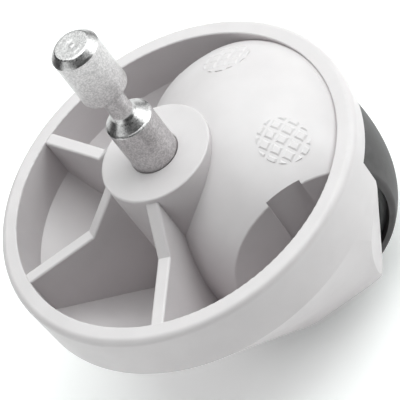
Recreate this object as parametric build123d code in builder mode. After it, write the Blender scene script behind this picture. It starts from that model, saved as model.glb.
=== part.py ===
"""Swivel caster module of a floor-cleaning robot, in five pieces.

Frame in millimetres. +Z is up along the stem, and the origin is on the stem's axis in the boss's
top face, where the module seats against the machine. The wheel trails on the +X side, and its
axle lies along Y, so the part is symmetric about the XZ plane.
"""
import os
from math import hypot, radians, sin

from build123d import *

# Ring wall and lip
ring_r = 30.5
ring_top_r = 30.8
ring_inner_r = 27.8
lip_z = -6.2
ring_bottom_z = -15.4
lip_outer_round = 1.1
lip_inner_round = 0.2

# Wheel and its place, trailing behind the stem's axis
trail = 12.8
axle_z = -20.6
wheel_r = 17.6
wheel_half_width = 15.2
face_r = 13.4
recess_r = 12.3
crown_y = 8.0
crown_r = 16.75
tyre_edge_round = 0.7

# Wheel hood: an ellipsoid about the axle, cut flat at the two cheeks
hood_r = 20.5
hood_half_span = 26.4
cheek_y = 18.0
cheek_t = 1.6
hood_t = 1.7

# Underside: a bowl from the ring down to the feet of the cheeks
foot_z = -33.6
foot_back_x = -1.0
foot_front_x = 26.0
foot_corner_r = 7.0
front_wall_t = 3.0
front_wall_z = -13.0
section_stops = (-38, 38, 100, 128, 232, 260, 322)
floor_edge_z = -14.3
floor_foot_z = -31.0
floor_foot_inset = 0.6

# Front opening, where the wheel stands out of the ring
brow_z = -10.5
brow_x = 25.25
cheek_top_z = -15.7
cheek_foot_x = 17.7
cheek_toe_r = 5.5
cheek_edge_x = 24.8
cheek_edge_y = 18.1
cheek_edge_z = -15.5

# Boss, ribs and the slots in the cheeks
boss_r = 9.3
rib_t = 2.2
rib_angles = (120, 180, 240)
rib_flat_z = -6.4
rib_flat_r = 15.7
rib_peak_z = -0.8
slot_w = 6.0
slot_depth = 0.6
boss_round = 0.3
rib_round = 0.4
hood_round = 0.4

# Stem: plain journal, hourglass neck and chamfered head, held by a flange inside the boss
journal_r = 3.9
journal_top_z = 8.85
neck_r = 1.9
neck_bottom_z = 10.6
neck_top_z = 15.7
head_z = 16.5
stem_top_z = 27.2
head_chamfer = 1.1
shank_r = 3.5
flange_r = 4.9
flange_top_z = -1.9
flange_bottom_z = -2.8
turning_gap = 0.06
countersink = 0.5

# Axle and its snap seats
axle_r = 1.5
axle_half_length = 15.6
seat_boss_r = 4.0
seat_boss_y = 12.4
seat_mouth_w = 2.6
axle_gap = 0.05

# Wheel hub
hub_core_r = 4.2
hub_core_y = 11.9
hub_web_y = 4.0
hub_rim_inner_r = 11.2
hub_rim_y = 14.2
hub_barrel_r = 14.2
hub_barrel_y = 10.8

reach = 60.0
axle_axis = Axis((trail, 0, axle_z), (0, 1, 0))
axle_plane = Plane.XY.offset(axle_z)


def round_section(radius):
    """Draw a circle as six arcs that end at the same corners as the foot section's edges."""
    for start, end in zip(section_stops, section_stops[1:]):
        CenterArc((0, 0), radius, start, end - start)


def foot_section(back_x, side_y, corner_r):
    """Draw the rounded rectangle that stands on the cheeks' feet, in six edges."""
    corner_x = back_x + corner_r
    corner_y = side_y - corner_r
    mid = corner_r * sin(radians(45))
    Line((foot_front_x, -side_y), (foot_front_x, side_y))
    Line((foot_front_x, side_y), (corner_x, side_y))
    ThreePointArc((corner_x, side_y), (corner_x - mid, corner_y + mid), (back_x, corner_y))
    Line((back_x, corner_y), (back_x, -corner_y))
    ThreePointArc((back_x, -corner_y), (corner_x - mid, -corner_y - mid), (corner_x, -side_y))
    Line((corner_x, -side_y), (foot_front_x, -side_y))


def hood_half_section(radius, half_span, half_width):
    """Draw half of the hood's section through the axle, for revolving about the axle."""
    with Locations((trail, 0)):
        Ellipse(radius, half_span)
    with Locations((trail + reach / 2, 0)):
        Rectangle(reach, 2 * half_width, mode=Mode.INTERSECT)


def round_off(corner_r, corner_z, radius, inward):
    """Draw round the sliver between a square corner and its rounding."""
    centre_r = corner_r + inward * radius
    mid = radius * sin(radians(45))
    Line((corner_r, corner_z - radius), (corner_r, corner_z + radius))
    Line((corner_r, corner_z + radius), (centre_r, corner_z + radius))
    Line((centre_r, corner_z + radius), (centre_r, corner_z))
    ThreePointArc(
        (centre_r, corner_z), (centre_r - inward * mid, corner_z - radius + mid),
        (corner_r, corner_z - radius),
    )


# Outer form of the housing, without any hollow
with BuildPart() as outer_form:
    with BuildSketch(Plane.XZ) as wall_section:
        with BuildLine():
            Polyline(
                (0, ring_bottom_z), (ring_r, ring_bottom_z), (ring_top_r, lip_z), (0, lip_z), close=True,
            )
        make_face()
        fillet(wall_section.vertices().sort_by_distance((ring_top_r, lip_z))[0], lip_outer_round)
    revolve(axis=Axis.Z)
    with BuildSketch(Plane.XY.offset(ring_bottom_z)):
        with BuildLine():
            round_section(ring_r)
        make_face()
    with BuildSketch(Plane.XY.offset(foot_z)):
        with BuildLine():
            foot_section(foot_back_x, cheek_y, foot_corner_r)
        make_face()
    loft(ruled=True)
    # Flat that brings the bowl's side in to the cheek's front edge
    edge_length = hypot(cheek_edge_x, cheek_edge_y)
    for side in (-1, 1):
        back = Vector(-cheek_edge_y, side * cheek_edge_x, 0) / edge_length
        down = Vector(cheek_foot_x - cheek_edge_x, side * (cheek_y - cheek_edge_y), foot_z - cheek_edge_z)
        outward = down.cross(back) * side
        with BuildSketch(Plane((cheek_edge_x, side * cheek_edge_y, cheek_edge_z), back, outward)):
            with Locations((0, -side * reach / 2)):
                Rectangle(reach, reach)
        extrude(amount=reach / 2, mode=Mode.SUBTRACT)

# Hood, full depth down to the feet
with BuildPart() as hood_form:
    with BuildSketch(axle_plane):
        hood_half_section(hood_r, hood_half_span, cheek_y)
        fillet(vertices().sort_by(Axis.X)[-2:], hood_round)
    revolve(axis=axle_axis)
    with BuildSketch(axle_plane):
        with Locations((trail, 0)):
            Ellipse(hood_r, hood_half_span)
            Rectangle(reach, 2 * cheek_y, mode=Mode.INTERSECT)
        fillet(vertices(), hood_round)
    extrude(amount=foot_z - axle_z)
    with BuildSketch(Plane.XY.offset(foot_z)):
        with Locations((trail, cheek_y - slot_depth / 2), (trail, slot_depth / 2 - cheek_y)):
            Rectangle(slot_w, slot_depth)
    extrude(amount=-foot_z, mode=Mode.SUBTRACT)

# Space for the wheel inside the hood
with BuildPart() as wheel_well:
    with BuildSketch(axle_plane):
        hood_half_section(hood_r - hood_t, hood_half_span - hood_t, cheek_y - cheek_t)
    revolve(axis=axle_axis)
    with BuildSketch(axle_plane):
        with Locations((trail, 0)):
            Ellipse(hood_r - hood_t, hood_half_span - hood_t)
            Rectangle(reach, 2 * (cheek_y - cheek_t), mode=Mode.INTERSECT)
    extrude(amount=foot_z - axle_z - 1)

# One rib, along +X
with BuildPart() as rib_form:
    with BuildSketch(Plane.XZ):
        with BuildLine():
            Polyline(
                (0, foot_z), (ring_r, foot_z), (ring_r, rib_flat_z), (rib_flat_r, rib_flat_z),
                (boss_r, rib_peak_z), (0, rib_peak_z), close=True,
            )
        make_face()
    extrude(amount=rib_t / 2, both=True)
    crest = rib_form.edges().filter_by(Axis.Y, reverse=True).sort_by(Axis.Z)
    fillet(crest.filter_by(lambda edge: edge.center().Z > rib_flat_z - 0.01), rib_round)

# Hollow pockets of the upper side, between ribs, boss and hood
with BuildPart() as pockets:
    with BuildSketch(Plane.XY.offset(floor_edge_z)):
        Circle(ring_inner_r)
    extrude(amount=-floor_edge_z + 1)
    with BuildSketch(Plane.XY.offset(floor_edge_z)):
        with BuildLine():
            round_section(ring_inner_r)
        make_face()
    with BuildSketch(Plane.XY.offset(floor_foot_z)):
        with BuildLine():
            foot_section(foot_back_x + floor_foot_inset, cheek_y - floor_foot_inset, foot_corner_r)
        make_face()
    loft(ruled=True)
    with BuildSketch(Plane.XY):
        Circle(boss_r)
    extrude(amount=foot_z, mode=Mode.SUBTRACT)
    for rib_angle in rib_angles:
        add(rib_form.part.rotate(Axis.Z, rib_angle), mode=Mode.SUBTRACT)
    add(hood_form.part, mode=Mode.SUBTRACT)
    # Wall that closes the side pockets behind the cheeks' front edges
    with BuildSketch(Plane.XZ):
        with BuildLine():
            Polyline(
                (reach, front_wall_z), (brow_x - front_wall_t, front_wall_z),
                (brow_x - front_wall_t, cheek_top_z), (cheek_foot_x - front_wall_t, foot_z),
                (reach, foot_z), close=True,
            )
        make_face()
    extrude(amount=reach, both=True, mode=Mode.SUBTRACT)

# Side view of the housing, with the front cut away around the wheel
with BuildPart() as side_limits:
    with BuildSketch(Plane.XZ) as side_view:
        with BuildLine():
            Polyline(
                (-reach, 1), (reach, 1), (reach, brow_z), (brow_x, brow_z), (brow_x, cheek_top_z),
                (cheek_foot_x, foot_z), (-reach, foot_z), close=True,
            )
        make_face()
        fillet(side_view.vertices().sort_by_distance((cheek_foot_x, foot_z))[0], cheek_toe_r)
    extrude(amount=reach, both=True)

with BuildPart() as caster_housing:
    add(outer_form.part)
    with BuildSketch(Plane.XY.offset(floor_edge_z)):
        Circle(ring_inner_r - 0.5)
    extrude(amount=-floor_edge_z)
    add(pockets.part, mode=Mode.SUBTRACT)
    add(wheel_well.part, mode=Mode.SUBTRACT)
    add(side_limits.part, mode=Mode.INTERSECT)
    # Snap seats for the axle, inside the cheeks
    for side in (-1, 1):
        with BuildSketch(Plane.XZ.offset(side * seat_boss_y)):
            with Locations((trail, axle_z)):
                Circle(seat_boss_r)
        extrude(amount=side * (cheek_y - cheek_t / 2 - seat_boss_y))
        with BuildSketch(Plane.XZ.offset(side * (seat_boss_y - 1))):
            with Locations((trail, axle_z)):
                Circle(axle_r)
            with Locations((trail, axle_z - seat_boss_r)):
                Rectangle(seat_mouth_w, 2 * seat_boss_r)
        extrude(amount=side * (cheek_y - cheek_t - seat_boss_y + 1), mode=Mode.SUBTRACT)
    # Rounded edges of the lip and the boss
    for edge_r, edge_z, edge_round, inward in (
        (ring_inner_r, lip_z, lip_inner_round, 1), (boss_r, 0, boss_round, -1),
    ):
        with BuildSketch(Plane.XZ):
            with BuildLine():
                round_off(edge_r, edge_z, edge_round, inward)
            make_face()
        revolve(axis=Axis.Z, mode=Mode.SUBTRACT)
    # Bore and flange pocket for the stem
    with BuildSketch(Plane.XZ):
        with BuildLine():
            Polyline(
                (0, 1), (shank_r + turning_gap + countersink + 1, 1),
                (shank_r + turning_gap, -countersink),
                (shank_r + turning_gap, flange_top_z + turning_gap),
                (flange_r + turning_gap, flange_top_z + turning_gap),
                (flange_r + turning_gap, flange_bottom_z - turning_gap),
                (0, flange_bottom_z - turning_gap), close=True,
            )
        make_face()
    revolve(axis=Axis.Z, mode=Mode.SUBTRACT)

with BuildPart() as stem:
    with BuildSketch(Plane.XZ):
        with BuildLine():
            Polyline(
                (0, flange_bottom_z), (flange_r, flange_bottom_z), (flange_r, flange_top_z),
                (shank_r, flange_top_z), (shank_r, 0), (journal_r, 0), (journal_r, journal_top_z),
                (neck_r, neck_bottom_z), (neck_r, neck_top_z), (neck_r + head_z - neck_top_z, head_z),
                (journal_r, head_z), (journal_r, stem_top_z - head_chamfer),
                (journal_r - head_chamfer, stem_top_z), (0, stem_top_z), close=True,
            )
        make_face()
    revolve(axis=Axis.Z)

with BuildPart() as wheel_axle:
    with BuildSketch(Plane.XZ.offset(-axle_half_length)):
        with Locations((trail, axle_z)):
            Circle(axle_r)
    extrude(amount=2 * axle_half_length)
    chamfer(wheel_axle.edges().filter_by(GeomType.CIRCLE), 0.3)

with BuildPart() as wheel_hub:
    with BuildSketch(axle_plane):
        with BuildLine():
            Polyline(
                (trail + axle_r + axle_gap, -hub_core_y), (trail + hub_core_r, -hub_core_y),
                (trail + hub_core_r, -hub_web_y), (trail + hub_rim_inner_r, -hub_web_y),
                (trail + hub_rim_inner_r, -hub_rim_y), (trail + recess_r, -hub_rim_y),
                (trail + hub_barrel_r, -hub_barrel_y), (trail + hub_barrel_r, hub_barrel_y),
                (trail + recess_r, hub_rim_y), (trail + hub_rim_inner_r, hub_rim_y),
                (trail + hub_rim_inner_r, hub_web_y), (trail + hub_core_r, hub_web_y),
                (trail + hub_core_r, hub_core_y), (trail + axle_r + axle_gap, hub_core_y), close=True,
            )
        make_face()
    revolve(axis=axle_axis)

with BuildPart() as wheel_tyre:
    with BuildSketch(axle_plane):
        with BuildLine():
            Line((trail + recess_r, wheel_half_width), (trail + recess_r, hub_rim_y))
            Line((trail + recess_r, hub_rim_y), (trail + hub_barrel_r, hub_barrel_y))
            Line((trail + hub_barrel_r, hub_barrel_y), (trail + hub_barrel_r, -hub_barrel_y))
            Line((trail + hub_barrel_r, -hub_barrel_y), (trail + recess_r, -hub_rim_y))
            Line((trail + recess_r, -hub_rim_y), (trail + recess_r, -wheel_half_width))
            Line((trail + recess_r, -wheel_half_width), (trail + face_r, -wheel_half_width))
            Spline(
                (trail + face_r, -wheel_half_width), (trail + crown_r, -crown_y), (trail + wheel_r, 0),
                (trail + crown_r, crown_y), (trail + face_r, wheel_half_width),
            )
            Line((trail + face_r, wheel_half_width), (trail + recess_r, wheel_half_width))
        make_face()
    revolve(axis=axle_axis)
    face_edges = wheel_tyre.edges().filter_by(GeomType.CIRCLE).group_by(Axis.Y)
    fillet(face_edges[0].sort_by(SortBy.RADIUS)[-1], tyre_edge_round)
    face_edges = wheel_tyre.edges().filter_by(GeomType.CIRCLE).group_by(Axis.Y)
    fillet(face_edges[-1].sort_by(SortBy.RADIUS)[-1], tyre_edge_round)

caster_housing.part.label = "caster_housing"
stem.part.label = "swivel_stem"
wheel_axle.part.label = "wheel_axle"
wheel_hub.part.label = "wheel_hub"
wheel_tyre.part.label = "wheel_tyre"

os.makedirs("parts", exist_ok=True)
for piece in (caster_housing.part, stem.part, wheel_axle.part, wheel_hub.part, wheel_tyre.part):
    export_step(piece, f"parts/{piece.label}.step")
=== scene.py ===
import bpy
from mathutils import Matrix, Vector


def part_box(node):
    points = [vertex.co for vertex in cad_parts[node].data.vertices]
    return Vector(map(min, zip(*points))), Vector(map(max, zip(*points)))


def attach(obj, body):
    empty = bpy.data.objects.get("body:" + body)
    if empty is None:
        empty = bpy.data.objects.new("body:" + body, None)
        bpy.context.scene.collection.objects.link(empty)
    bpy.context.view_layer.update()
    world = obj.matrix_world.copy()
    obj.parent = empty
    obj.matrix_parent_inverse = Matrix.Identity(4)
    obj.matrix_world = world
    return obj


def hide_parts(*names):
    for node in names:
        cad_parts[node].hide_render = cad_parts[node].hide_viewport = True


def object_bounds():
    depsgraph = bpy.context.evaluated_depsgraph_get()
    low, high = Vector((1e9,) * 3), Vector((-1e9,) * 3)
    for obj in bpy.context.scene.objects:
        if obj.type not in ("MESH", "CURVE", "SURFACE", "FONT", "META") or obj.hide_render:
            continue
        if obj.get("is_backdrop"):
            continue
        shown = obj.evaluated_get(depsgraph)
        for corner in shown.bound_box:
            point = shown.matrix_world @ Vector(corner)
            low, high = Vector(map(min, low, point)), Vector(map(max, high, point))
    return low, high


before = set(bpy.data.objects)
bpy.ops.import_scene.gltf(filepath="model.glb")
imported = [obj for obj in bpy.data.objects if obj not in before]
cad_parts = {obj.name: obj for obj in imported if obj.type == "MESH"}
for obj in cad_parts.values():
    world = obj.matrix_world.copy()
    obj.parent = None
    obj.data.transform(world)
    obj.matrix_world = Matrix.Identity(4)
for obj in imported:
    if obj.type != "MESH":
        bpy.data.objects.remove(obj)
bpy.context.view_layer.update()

"""Looks of a trailing swivel caster module: a white moulded housing, a turned steel stem and a
rubber-tyred wheel.

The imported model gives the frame: metres, +Z up along the stem, the origin on the stem's axis in the
boss's top face, and the wheel trailing on the +X side with its axle along Y.
"""
import logging
import math
from dataclasses import dataclass, field
from enum import Enum
from typing import Any, Iterable, Sequence

import bmesh
import bpy
from mathutils import Matrix, Vector

log = logging.getLogger("caster")

MM = 0.001
Colour = tuple[float, float, float]
Point = tuple[float, float]


class Maths(Enum):
    """Scalar operations that the shader and shape expressions use."""

    ADD = "ADD"
    SUBTRACT = "SUBTRACT"
    MULTIPLY = "MULTIPLY"
    DIVIDE = "DIVIDE"
    POWER = "POWER"
    ROOT = "SQRT"
    SINE = "SINE"
    ABSOLUTE = "ABSOLUTE"


class Side(Enum):
    """Which side of the wheel a mirrored detail lies on."""

    LEFT = -1
    RIGHT = 1


@dataclass(frozen=True)
class Wire:
    """A node output that takes part in written maths."""

    graph: "Graph"
    socket: bpy.types.NodeSocket

    def _do(self, operation: Maths, *values: Any) -> "Wire":
        """Add one Math node.

        Args:
            operation: What the node works out.
            values: Its wires or numbers, in order.

        Returns:
            The node's result.
        """
        sockets = dict(enumerate(values))
        return self.graph.node("ShaderNodeMath", {"operation": operation.value}, sockets)

    def __add__(self, other: Any) -> "Wire":
        """Sum of two values."""
        return self._do(Maths.ADD, self, other)

    __radd__ = __add__

    def __sub__(self, other: Any) -> "Wire":
        """Difference of two values."""
        return self._do(Maths.SUBTRACT, self, other)

    def __rsub__(self, other: Any) -> "Wire":
        """Difference with the wire on the right."""
        return self._do(Maths.SUBTRACT, other, self)

    def __mul__(self, other: Any) -> "Wire":
        """Product of two values."""
        return self._do(Maths.MULTIPLY, self, other)

    __rmul__ = __mul__

    def __truediv__(self, other: Any) -> "Wire":
        """Quotient of two values."""
        return self._do(Maths.DIVIDE, self, other)

    def __rtruediv__(self, other: Any) -> "Wire":
        """Quotient with the wire below."""
        return self._do(Maths.DIVIDE, other, self)

    def __pow__(self, other: Any) -> "Wire":
        """Power of two values."""
        return self._do(Maths.POWER, self, other)

    def __abs__(self) -> "Wire":
        """Size of a value, without its sign."""
        return self._do(Maths.ABSOLUTE, self)

    def root(self) -> "Wire":
        """Square root of a value."""
        return self._do(Maths.ROOT, self)

    def sine(self) -> "Wire":
        """Sine of a value in radians."""
        return self._do(Maths.SINE, self)

    def step(self, low: float, high: float, start: float = 0.0, end: float = 1.0) -> "Wire":
        """Ease from one level to another as the value rises.

        Args:
            low: Value at which the change starts.
            high: Value at which the change ends.
            start: Level below low.
            end: Level above high.

        Returns:
            The eased level.
        """
        sockets = {"Value": self, "From Min": low, "From Max": high, "To Min": start, "To Max": end}
        return self.graph.node("ShaderNodeMapRange", {"interpolation_type": "SMOOTHSTEP"}, sockets)


class Graph:
    """A node tree that is built one call at a time."""

    def __init__(self, tree: bpy.types.NodeTree) -> None:
        """Keep the tree that the nodes go into."""
        self.tree = tree

    def node(self, kind: str, settings: dict | None = None, sockets: dict | None = None,
             out: int | str = 0) -> Wire:
        """Add a node of any type.

        Args:
            kind: The node's type.
            settings: Properties of the node, set before its sockets.
            sockets: Values or wires by socket name or place.
            out: Name or place of the output that is wanted.

        Returns:
            That output.
        """
        made = self.tree.nodes.new(kind)
        for name, value in (settings or {}).items():
            setattr(made, name, value)
        for key, value in (sockets or {}).items():
            for item in value if isinstance(value, list) else [value]:
                if isinstance(item, Wire):
                    self.tree.links.new(item.socket, made.inputs[key])
                else:
                    made.inputs[key].default_value = item
        return Wire(self, made.outputs[out]) if made.outputs else Wire(self, None)

    def parts(self, vector: Wire) -> tuple[Wire, Wire, Wire]:
        """Split a vector into its three numbers."""
        split = self.node("ShaderNodeSeparateXYZ", sockets={"Vector": vector})
        return tuple(Wire(self, output) for output in split.socket.node.outputs)

    def joined(self, x: Any, y: Any, z: Any) -> Wire:
        """Join three numbers into a vector."""
        return self.node("ShaderNodeCombineXYZ", sockets={"X": x, "Y": y, "Z": z})


class Shader(Graph):
    """A material whose nodes read object coordinates."""

    def __init__(self, name: str) -> None:
        """Start an empty material.

        Args:
            name: The material's name.
        """
        self.material = bpy.data.materials.new(name)
        self.material.use_nodes = True
        super().__init__(self.material.node_tree)
        self.tree.nodes.clear()
        self.place = self.node("ShaderNodeTexCoord", out="Object")

    def facing(self) -> Wire:
        """The surface's own normal in object space."""
        return Wire(self, self.place.socket.node.outputs["Normal"])

    def noise(self, size: float, detail: float = 2.0, stretch: tuple | None = None) -> Wire:
        """Add a cloud of noise around 0.5.

        Args:
            size: Size of one blob, in metres.
            detail: Octaves of finer noise.
            stretch: Scale along each axis, if it isn't the same all round.

        Returns:
            The noise's level.
        """
        place = self.place
        if stretch:
            place = self.node("ShaderNodeMapping", {"vector_type": "POINT"},
                              {"Vector": place, "Scale": stretch})
        return self.node("ShaderNodeTexNoise", None,
                         {"Vector": place, "Scale": 1.0 / size, "Detail": detail}, "Fac")

    def shade(self, factor: Any, low: Colour, high: Colour) -> Wire:
        """Mix two colours.

        Args:
            factor: Share of the second colour.
            low: First colour.
            high: Second colour.

        Returns:
            The mixed colour.
        """
        return self.node("ShaderNodeMix", {"data_type": "RGBA"},
                         {0: factor, 6: (*low, 1.0), 7: (*high, 1.0)}, 2)

    def bump(self, height: Wire, depth: float) -> Wire:
        """Turn a height from 0 to 1 into a normal.

        Args:
            height: The relief.
            depth: Depth of the relief, in metres.

        Returns:
            The bumped normal.
        """
        return self.node("ShaderNodeBump", None, {"Height": height, "Distance": depth})

    def surface(self, **sockets: Any) -> bpy.types.Material:
        """Finish the material with a principled surface.

        Args:
            sockets: Socket names, with underscores for blanks, and their values or wires.

        Returns:
            The material.
        """
        values = {name.replace("_", " "): value for name, value in sockets.items()}
        surface = self.node("ShaderNodeBsdfPrincipled", None, values)
        self.node("ShaderNodeOutputMaterial", None, {"Surface": surface})
        return self.material


@dataclass(frozen=True)
class MouldedWhite:
    """Satin off-white ABS with a fine eroded-mould grain."""

    base: Colour = (0.60, 0.562, 0.574)
    worn: Colour = (0.578, 0.541, 0.553)
    roughness: float = 0.40
    grain: float = 0.22 * MM
    cloud: float = 6.0 * MM
    depth: float = 0.006 * MM
    ior: float = 1.52
    scatter: float = 0.12
    scatter_reach: float = 0.5 * MM
    scatter_spread: Colour = (1.0, 0.9, 0.85)

    def make(self) -> bpy.types.Material:
        """Build the material.

        Returns:
            The finished material.
        """
        shader = Shader("moulded_white")
        cloud = shader.noise(self.cloud, 3.0)
        grain = shader.noise(self.grain, 2.0)
        return shader.surface(
            Base_Color=shader.shade(cloud.step(0.35, 0.7), self.base, self.worn),
            Roughness=self.roughness + (cloud - 0.5) * 0.12 + (grain - 0.5) * 0.08,
            IOR=self.ior,
            Subsurface_Weight=self.scatter,
            Subsurface_Radius=self.scatter_spread,
            Subsurface_Scale=self.scatter_reach,
            Normal=shader.bump(grain, self.depth),
        )


@dataclass(frozen=True)
class TurnedSteel:
    """Turned and tumbled steel: turning rings on the faces, mottled grain on the cylinders."""

    dark: Colour = (0.41, 0.393, 0.40)
    light: Colour = (0.64, 0.616, 0.62)
    roughness: float = 0.34
    grain: float = 0.27 * MM
    pitch: float = 0.24 * MM
    depth: float = 0.008 * MM

    def make(self) -> bpy.types.Material:
        """Build the material.

        Returns:
            The finished material.
        """
        shader = Shader("turned_steel")
        x, y, z = shader.parts(shader.place)
        _, _, up = shader.parts(shader.facing())
        flat = abs(up).step(0.35, 0.8)
        speckle = shader.noise(self.grain, 3.0)
        blotch = shader.noise(self.grain * 3, 2.0)
        rings = ((x * x + y * y).root() * (math.tau / self.pitch)).sine() * 0.5 + 0.5
        lines = (z * (math.tau / self.pitch) * 1.7).sine() * 0.5 + 0.5
        relief = speckle * (0.75 - flat * 0.55) + rings * flat * 0.22 + lines * (1 - flat) * 0.1
        tone = (speckle * 0.75 + blotch * 0.25).step(0.34, 0.66)
        return shader.surface(
            Base_Color=shader.shade(tone, self.dark, self.light),
            Metallic=1.0,
            Roughness=self.roughness + (speckle - 0.5) * 0.25 - flat * 0.03,
            Normal=shader.bump(relief, self.depth),
        )


@dataclass(frozen=True)
class GroundSteel:
    """Centreless-ground pin steel."""

    base: Colour = (0.60, 0.60, 0.61)
    smeared: Colour = (0.48, 0.48, 0.49)
    roughness: float = 0.22
    depth: float = 0.004 * MM

    def make(self) -> bpy.types.Material:
        """Build the material.

        Returns:
            The finished material.
        """
        shader = Shader("ground_steel")
        lines = shader.noise(0.9 * MM, 3.0, (1.0, 14.0, 1.0))
        return shader.surface(
            Base_Color=shader.shade(lines.step(0.35, 0.7), self.base, self.smeared),
            Metallic=1.0,
            Roughness=self.roughness + (lines - 0.5) * 0.2,
            Normal=shader.bump(lines, self.depth),
        )


@dataclass(frozen=True)
class BlackNylon:
    """Black moulded nylon of the wheel's hub."""

    base: Colour = (0.016, 0.016, 0.017)
    dusty: Colour = (0.035, 0.034, 0.034)
    roughness: float = 0.42
    depth: float = 0.012 * MM

    def make(self) -> bpy.types.Material:
        """Build the material.

        Returns:
            The finished material.
        """
        shader = Shader("black_nylon")
        dust = shader.noise(2.2 * MM, 4.0)
        grain = shader.noise(0.3 * MM, 2.0)
        return shader.surface(
            Base_Color=shader.shade(dust.step(0.45, 0.75), self.base, self.dusty),
            Roughness=self.roughness + (dust - 0.5) * 0.25,
            Normal=shader.bump(grain, self.depth),
        )


@dataclass(frozen=True)
class TyreRubber:
    """Dark grey moulded rubber with a faint bloom."""

    base: Colour = (0.040, 0.0355, 0.037)
    bloom: Colour = (0.066, 0.060, 0.062)
    roughness: float = 0.56
    depth: float = 0.014 * MM

    def make(self) -> bpy.types.Material:
        """Build the material.

        Returns:
            The finished material.
        """
        shader = Shader("tyre_rubber_finish")
        cloud = shader.noise(3.0 * MM, 4.0)
        grain = shader.noise(0.25 * MM, 3.0)
        return shader.surface(
            Base_Color=shader.shade(cloud.step(0.35, 0.75), self.base, self.bloom),
            Roughness=self.roughness + (cloud - 0.5) * 0.16 + (grain - 0.5) * 0.1,
            Normal=shader.bump(grain, self.depth),
        )


@dataclass(frozen=True)
class PaleFloor:
    """Plain white studio sweep that glows a little, as a lit table does."""

    base: Colour = (0.9, 0.9, 0.9)
    glow: float = 0.24

    def make(self) -> bpy.types.Material:
        """Build the material.

        Returns:
            The finished material.
        """
        shader = Shader("pale_floor")
        return shader.surface(Base_Color=(*self.base, 1.0), Roughness=0.9,
                              Emission_Color=(1.0, 1.0, 1.0, 1.0), Emission_Strength=self.glow)


class ShapeTree(Graph):
    """A Geometry Nodes tree with named inputs, ending in realised and dressed geometry."""

    def __init__(self, name: str, **inputs: str) -> None:
        """Start a tree.

        Args:
            name: The tree's name.
            inputs: Socket type of each input, by its name.
        """
        super().__init__(bpy.data.node_groups.new(name, "GeometryNodeTree"))
        face = self.tree.interface
        face.new_socket(name="Geometry", in_out="INPUT", socket_type="NodeSocketGeometry")
        for title, kind in inputs.items():
            face.new_socket(name=title, in_out="INPUT", socket_type=kind)
        face.new_socket(name="Geometry", in_out="OUTPUT", socket_type="NodeSocketGeometry")
        self.entry = self.node("NodeGroupInput").socket.node

    def input(self, name: str) -> Wire:
        """A named input of the tree."""
        return Wire(self, self.entry.outputs[name])

    def end(self, geometry: Wire) -> None:
        """Close the tree with realised instances and a material.

        Args:
            geometry: What the tree has made.
        """
        real = self.node("GeometryNodeRealizeInstances", None, {"Geometry": geometry})
        dressed = self.node("GeometryNodeSetMaterial", None,
                            {"Geometry": real, "Material": self.input("finish")})
        self.node("NodeGroupOutput", None, {0: dressed})

    def grow(self, name: str, start: bpy.types.Mesh | None = None, **values: Any) -> bpy.types.Object:
        """Run the tree once and keep its result as a plain mesh.

        Args:
            name: Name of the piece.
            start: Geometry that the tree works from, if it needs any.
            values: The tree's inputs by name.

        Returns:
            The piece, at the origin, without a modifier.
        """
        piece = bpy.data.objects.new(name, start or bpy.data.meshes.new(name))
        bpy.context.scene.collection.objects.link(piece)
        modifier = piece.modifiers.new("shape", "NODES")
        modifier.node_group = self.tree
        for item in self.tree.interface.items_tree:
            if item.in_out == "INPUT" and item.name in values:
                modifier[item.identifier] = values[item.name]
        graph = bpy.context.evaluated_depsgraph_get()
        mesh = bpy.data.meshes.new_from_object(piece.evaluated_get(graph))
        piece.modifiers.clear()
        piece.data = mesh
        mesh.name = name
        return piece


def soften(mesh: bpy.types.Mesh, angle: float = 32.0, merge: float = 1e-7) -> None:
    """Merge doubles, turn faces outward and shade smooth up to an angle.

    Args:
        mesh: The mesh to clean.
        angle: Edges sharper than this stay crisp, in degrees.
        merge: Distance within which points are one, in metres.
    """
    work = bmesh.new()
    work.from_mesh(mesh)
    bmesh.ops.remove_doubles(work, verts=work.verts, dist=merge)
    bmesh.ops.recalc_face_normals(work, faces=work.faces)
    limit = math.radians(angle)
    for face in work.faces:
        face.smooth = True
    for edge in work.edges:
        edge.smooth = edge.calc_face_angle(math.pi) < limit
    work.to_mesh(mesh)
    work.free()


def dress(piece: bpy.types.Object, material: bpy.types.Material) -> None:
    """Give a piece one material."""
    piece.data.materials.clear()
    piece.data.materials.append(material)


def arc(centre: Point, radius: float, start: float, end: float, steps: int = 6) -> list[Point]:
    """Points along an arc of a profile.

    Args:
        centre: Centre of the arc.
        radius: Its radius.
        start: Angle of its first point, in degrees.
        end: Angle of its last point, in degrees.
        steps: Number of straight steps.

    Returns:
        The points, both ends included.
    """
    turns = (math.radians(start + (end - start) * i / steps) for i in range(steps + 1))
    return [(centre[0] + radius * math.cos(t), centre[1] + radius * math.sin(t)) for t in turns]


def turned(name: str, profile: Sequence[Point], sides: int = 96) -> bpy.types.Object:
    """Turn a profile of radius and height about the stem's axis, closing it at the axis.

    Args:
        name: Name of the piece.
        profile: Points from the lower pole to the upper one, in metres.
        sides: Number of steps round the axis.

    Returns:
        The turned piece.
    """
    work = bmesh.new()
    rows = []
    for radius, height in profile:
        if radius < 1e-9:
            rows.append([work.verts.new((0.0, 0.0, height))])
            continue
        turns = (math.tau * k / sides for k in range(sides))
        rows.append([work.verts.new((radius * math.cos(t), radius * math.sin(t), height)) for t in turns])
    for low, high in zip(rows, rows[1:]):
        for k in range(sides):
            n = (k + 1) % sides
            corners = [low[k % len(low)], low[n % len(low)], high[n % len(high)], high[k % len(high)]]
            work.faces.new(list(dict.fromkeys(corners)))
    mesh = bpy.data.meshes.new(name)
    work.to_mesh(mesh)
    work.free()
    piece = bpy.data.objects.new(name, mesh)
    bpy.context.scene.collection.objects.link(piece)
    return piece


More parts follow.
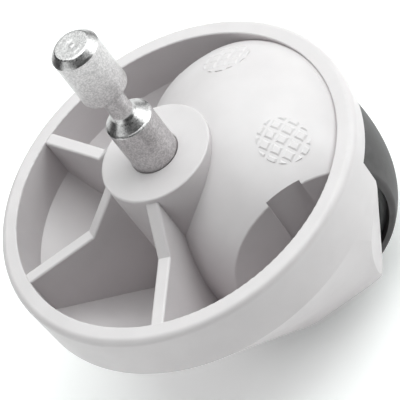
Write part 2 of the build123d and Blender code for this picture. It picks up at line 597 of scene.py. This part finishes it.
@dataclass
class Stem:
    """Steel stem: journal, hourglass neck and chamfered head, held by a flange inside the boss."""

    finish: bpy.types.Material
    journal_r: float = 3.9 * MM
    journal_top: float = 8.85 * MM
    neck_r: float = 1.85 * MM
    neck_bottom: float = 10.6 * MM
    neck_top: float = 15.7 * MM
    head_bottom: float = 16.5 * MM
    chamfer: float = 1.1 * MM
    shank_r: float = 3.5 * MM
    flange_r: float = 4.9 * MM
    flange_top: float = -1.9 * MM
    edge: float = 0.18 * MM
    ring_count: int = 7
    ring_depth: float = 0.016 * MM
    face_steps: tuple[Point, ...] = (
        (2.2, 0.0), (2.1, 0.02), (1.75, 0.02), (1.65, 0.0), (1.25, 0.0), (1.1, 0.03),
        (0.8, 0.06), (0.62, 0.09), (0.45, 0.09), (0.32, 0.03), (0.15, 0.0),
    )

    def profile(self) -> list[Point]:
        """Draw the stem's half section.

        Returns:
            Its points, from the lower end to the upper one.
        """
        low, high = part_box("swivel_stem")
        top, edge = high.z, self.edge
        points = [(0.0, low.z), (self.flange_r - edge, low.z), (self.flange_r, low.z + edge)]
        points += [(self.flange_r, self.flange_top - edge), (self.flange_r - edge, self.flange_top)]
        points += [(self.shank_r, self.flange_top), (self.shank_r, -0.05 * MM), (self.journal_r, 0.0)]
        points += arc((self.journal_r - edge, self.journal_top - edge), edge, 0, 45)
        points += self.cone()
        points += arc((self.neck_r + 0.7 * MM, self.neck_bottom + 0.5 * MM), 0.7 * MM, 220, 180)
        points += arc((self.neck_r + 0.7 * MM, self.neck_top - 0.3 * MM), 0.7 * MM, 180, 120)
        points += [(self.neck_r + 0.9 * MM, self.head_bottom)]
        points += arc((self.journal_r - 2 * edge, self.head_bottom + 2 * edge), 2 * edge, -90, 0)
        points += self.head(top)
        return points

    def cone(self) -> list[Point]:
        """Draw the turned steps on the shoulder between the journal and the neck.

        Returns:
            The shoulder's points, from the journal up.
        """
        start = (self.journal_r - 0.3 * MM, self.journal_top + 0.12 * MM)
        end = (self.neck_r + 0.25 * MM, self.neck_bottom - 0.15 * MM)
        points = [start]
        for i in range(1, 2 * self.ring_count):
            share = i / (2 * self.ring_count)
            drop = self.ring_depth if i % 2 else 0.0
            points.append((start[0] + (end[0] - start[0]) * share - drop,
                           start[1] + (end[1] - start[1]) * share - drop))
        return points + [end]

    def head(self, top: float) -> list[Point]:
        """Draw the head's chamfer and its faced end, with turning steps and a centre pip.

        Args:
            top: Height of the faced end.

        Returns:
            The points, from the chamfer to the axis.
        """
        edge_r = self.journal_r - self.chamfer
        points = [(self.journal_r, top - self.chamfer - 0.06 * MM)]
        for i in range(1, 7):
            share = i / 7
            drop = self.ring_depth if i % 2 else 0.0
            points.append((self.journal_r - self.chamfer * share - drop,
                           top - self.chamfer * (1 - share) - drop))
        points += [(edge_r, top - 0.05 * MM), (edge_r - 0.12 * MM, top)]
        for radius, drop in self.face_steps:
            points.append((radius * MM, top - drop * MM))
        return points + [(0.0, top)]

    def build(self) -> list[bpy.types.Object]:
        """Turn the stem, dress it and set it on its body.

        Returns:
            The stem's pieces.
        """
        piece = turned("stem_turned", self.profile())
        soften(piece.data, 24.0)
        dress(piece, self.finish)
        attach(piece, "stem")
        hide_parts("swivel_stem")
        return [piece]


@dataclass
class Housing:
    """White housing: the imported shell, and the two raised grip fields on the wheel's hood."""

    finish: bpy.types.Material
    hood_r: float = 20.5 * MM
    hood_half_span: float = 26.4 * MM
    field_x: float = 17.2 * MM
    field_y: float = 11.2 * MM
    field_r: float = 3.85 * MM
    pitch: float = 1.9 * MM
    cell: float = 1.76 * MM
    rise: float = 0.13 * MM
    sunk: float = 0.06 * MM
    bank: float = 0.56 * MM
    turn: float = 33.0
    rows: int = 7

    def field_tree(self) -> ShapeTree:
        """Set up the rule that lays a round field of raised lozenges on the hood's ellipsoid.

        Returns:
            The tree, with an input for each size.
        """
        number = "NodeSocketFloat"
        names = ("pitch", "cell", "rise", "sunk", "bank", "turn", "field_r", "field_x", "field_y",
                 "axle_x", "axle_z", "hood_r", "hood_half_span")
        tree = ShapeTree("grip_field", rows="NodeSocketInt", finish="NodeSocketMaterial",
                         **{name: number for name in names})
        v = {name: tree.input(name) for name in names}
        rows = tree.input("rows")
        width = (rows - 1) * v["pitch"]
        grid = tree.node("GeometryNodeMeshGrid", None,
                         {"Size X": width, "Size Y": width, "Vertices X": rows, "Vertices Y": rows})
        corner = v["cell"] / math.sqrt(2)
        lozenge = tree.node("GeometryNodeMeshCone", {"fill_type": "NGON"},
                            {"Vertices": 4, "Radius Top": corner - v["bank"], "Radius Bottom": corner,
                             "Depth": v["rise"] + v["sunk"]})
        lozenge = tree.node("GeometryNodeTransform", None,
                            {"Geometry": lozenge, "Translation": tree.joined(0.0, 0.0, 0 - v["sunk"]),
                             "Rotation": (0.0, 0.0, math.radians(45))})
        cells = tree.node("GeometryNodeInstanceOnPoints", None, {"Points": grid, "Instance": lozenge})
        cells = tree.node("GeometryNodeRealizeInstances", None, {"Geometry": cells})
        cells = tree.node("GeometryNodeTransform", None,
                          {"Geometry": cells, "Rotation": tree.joined(0.0, 0.0, v["turn"])})
        rim = tree.node("GeometryNodeMeshCylinder", {"fill_type": "NGON"},
                        {"Vertices": 48, "Radius": v["field_r"], "Depth": 4 * v["rise"] + 4 * v["sunk"]})
        field_cells = tree.node("GeometryNodeMeshBoolean", {"operation": "INTERSECT"},
                                {"Mesh 2": [cells, rim]})
        x, y, z = tree.parts(tree.node("GeometryNodeInputPosition"))
        x, y = x + v["field_x"] - v["axle_x"], y + v["field_y"]
        across, along = x / v["hood_r"], y / v["hood_half_span"]
        height = (1 - across * across - along * along).root()
        steep = (across * across + along * along * (v["hood_r"] / v["hood_half_span"]) ** 2
                 + height * height).root()
        lift = z / steep
        place = tree.joined(x + v["axle_x"] + across * lift,
                            y + along * (v["hood_r"] / v["hood_half_span"]) * lift,
                            v["axle_z"] + height * (v["hood_r"] + lift))
        laid = tree.node("GeometryNodeSetPosition", None, {"Geometry": field_cells, "Position": place})
        tree.end(laid)
        return tree

    def build(self) -> list[bpy.types.Object]:
        """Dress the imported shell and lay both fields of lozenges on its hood.

        Returns:
            The shell and the two fields.
        """
        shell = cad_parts["caster_housing"]
        dress(shell, self.finish)
        low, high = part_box("wheel_axle")
        axle = (low + high) / 2
        tree = self.field_tree()
        pieces = [shell]
        for side in Side:
            piece = tree.grow(f"grip_field_{side.name.lower()}", None, finish=self.finish, rows=self.rows,
                              pitch=self.pitch, cell=self.cell, rise=self.rise, sunk=self.sunk,
                              bank=self.bank, turn=-side.value * math.radians(self.turn),
                              field_r=self.field_r, field_x=self.field_x,
                              field_y=side.value * self.field_y, axle_x=axle.x, axle_z=axle.z,
                              hood_r=self.hood_r, hood_half_span=self.hood_half_span)
            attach(piece, "housing")
            pieces.append(piece)
        return pieces


@dataclass
class Wheel:
    """Rubber tyre, nylon hub and steel axle."""

    rubber: bpy.types.Material
    nylon: bpy.types.Material
    steel: bpy.types.Material

    def build(self) -> list[bpy.types.Object]:
        """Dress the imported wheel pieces.

        Returns:
            The tyre, the hub and the axle.
        """
        pieces = []
        for node, material in (("wheel_tyre", self.rubber), ("wheel_hub", self.nylon),
                               ("wheel_axle", self.steel)):
            dress(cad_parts[node], material)
            pieces.append(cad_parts[node])
        return pieces


@dataclass(frozen=True)
class Lamp:
    """A square soft light, aimed at the module."""

    name: str
    azimuth: float
    elevation: float
    distance: float
    size: float
    power: float
    colour: Colour = (0.948, 1.0, 0.982)


@dataclass
class Studio:
    """Pale floor, soft lights, even sky and the camera."""

    floor: bpy.types.Material
    target: Vector = field(default_factory=lambda: Vector((1.26, -3.89, -10.25)) * MM)
    azimuth: float = 4.0
    elevation: float = 44.4
    roll: float = 37.93
    distance: float = 404.42 * MM
    lens: float = 234.0
    floor_size: float = 3.0
    sky: Colour = (1.0, 1.0, 1.0)
    sky_strength: float = 0.02
    backdrop_strength: float = 1.0
    floor_drop: float = 0.05 * MM
    sensor: float = 36.0
    clip_start: float = 0.01
    clip_end: float = 10.0
    lamps: tuple[Lamp, ...] = (
        Lamp("top", 180.0, 86.0, 0.45, 0.42, 1.36),
        Lamp("back", 180.0, 45.0, 0.45, 0.42, 0.72),
        Lamp("corner", 115.0, 35.0, 0.45, 0.42, 0.72),
        Lamp("right", 92.0, 55.0, 0.45, 0.42, 0.92),
        Lamp("side", 80.0, 24.0, 0.42, 0.26, 0.64),
        Lamp("fill", -70.0, 15.0, 0.45, 0.42, 0.76),
    )

    @staticmethod
    def toward(azimuth: float, elevation: float) -> Vector:
        """Direction from the module to a place in the studio, where azimuth 0 is in front."""
        a, e = math.radians(azimuth), math.radians(elevation)
        return Vector((math.sin(a) * math.cos(e), -math.cos(a) * math.cos(e), math.sin(e)))

    def lay_floor(self) -> None:
        """Lay the floor just under the wheel."""
        low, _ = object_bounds()
        work = bmesh.new()
        bmesh.ops.create_grid(work, x_segments=8, y_segments=8, size=self.floor_size / 2)
        bmesh.ops.translate(work, verts=work.verts, vec=(0.0, 0.0, low.z - self.floor_drop))
        mesh = bpy.data.meshes.new("floor")
        work.to_mesh(mesh)
        work.free()
        piece = bpy.data.objects.new("floor", mesh)
        bpy.context.scene.collection.objects.link(piece)
        dress(piece, self.floor)
        piece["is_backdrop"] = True

    def hang_lamps(self) -> None:
        """Hang the soft lights."""
        for lamp in self.lamps:
            light = bpy.data.lights.new(lamp.name, "AREA")
            light.shape = "SQUARE"
            light.size = lamp.size
            light.energy = lamp.power
            light.color = lamp.colour
            holder = bpy.data.objects.new(lamp.name, light)
            back = self.toward(lamp.azimuth, lamp.elevation)
            holder.location = self.target + back * lamp.distance
            holder.rotation_euler = back.to_track_quat("Z", "Y").to_euler()
            bpy.context.scene.collection.objects.link(holder)

    def light_sky(self) -> None:
        """Surround the scene with a pale backdrop that adds a little even light."""
        world = bpy.data.worlds.new("studio")
        world.use_nodes = True
        graph = Graph(world.node_tree)
        graph.tree.nodes.clear()
        glow, backdrop = (
            graph.node("ShaderNodeBackground", None, {"Color": (*self.sky, 1.0), "Strength": level})
            for level in (self.sky_strength, self.backdrop_strength)
        )
        seen = graph.node("ShaderNodeLightPath", out="Is Camera Ray")
        mixed = graph.node("ShaderNodeMixShader", None, {0: seen, 1: glow, 2: backdrop})
        graph.node("ShaderNodeOutputWorld", None, {"Surface": mixed})
        bpy.context.scene.world = world

    def place_camera(self) -> None:
        """Set up the camera."""
        back = self.toward(self.azimuth, self.elevation)
        right = Vector((0.0, 0.0, 1.0)).cross(back).normalized()
        up = back.cross(right)
        turn = math.radians(self.roll)
        across = right * math.cos(turn) - up * math.sin(turn)
        upward = right * math.sin(turn) + up * math.cos(turn)
        lens = bpy.data.cameras.new("camera")
        lens.lens = self.lens
        lens.sensor_width = self.sensor
        lens.clip_start = self.clip_start
        lens.clip_end = self.clip_end
        camera = bpy.data.objects.new("camera", lens)
        camera.matrix_world = Matrix((across, upward, back)).transposed().to_4x4()
        camera.location = self.target + back * self.distance
        bpy.context.scene.collection.objects.link(camera)
        bpy.context.scene.camera = camera

    def build(self) -> None:
        """Set up the whole studio."""
        self.lay_floor()
        self.hang_lamps()
        self.light_sky()
        self.place_camera()
        bpy.context.scene.view_settings.view_transform = "Standard"


def report(title: str, pieces: Iterable[bpy.types.Object]) -> None:
    """Log each piece of a sub-assembly."""
    for piece in pieces:
        log.info("%s: %s, %d faces", title, piece.name, len(piece.data.polygons))


def main() -> None:
    """Build and dress the module, then set up the studio."""
    logging.basicConfig(level=logging.INFO, format="%(message)s")
    white = MouldedWhite().make()
    report("housing", Housing(white).build())
    report("stem", Stem(TurnedSteel().make()).build())
    report("wheel", Wheel(TyreRubber().make(), BlackNylon().make(), GroundSteel().make()).build())
    Studio(PaleFloor().make()).build()


if __name__ == "__main__":
    main()
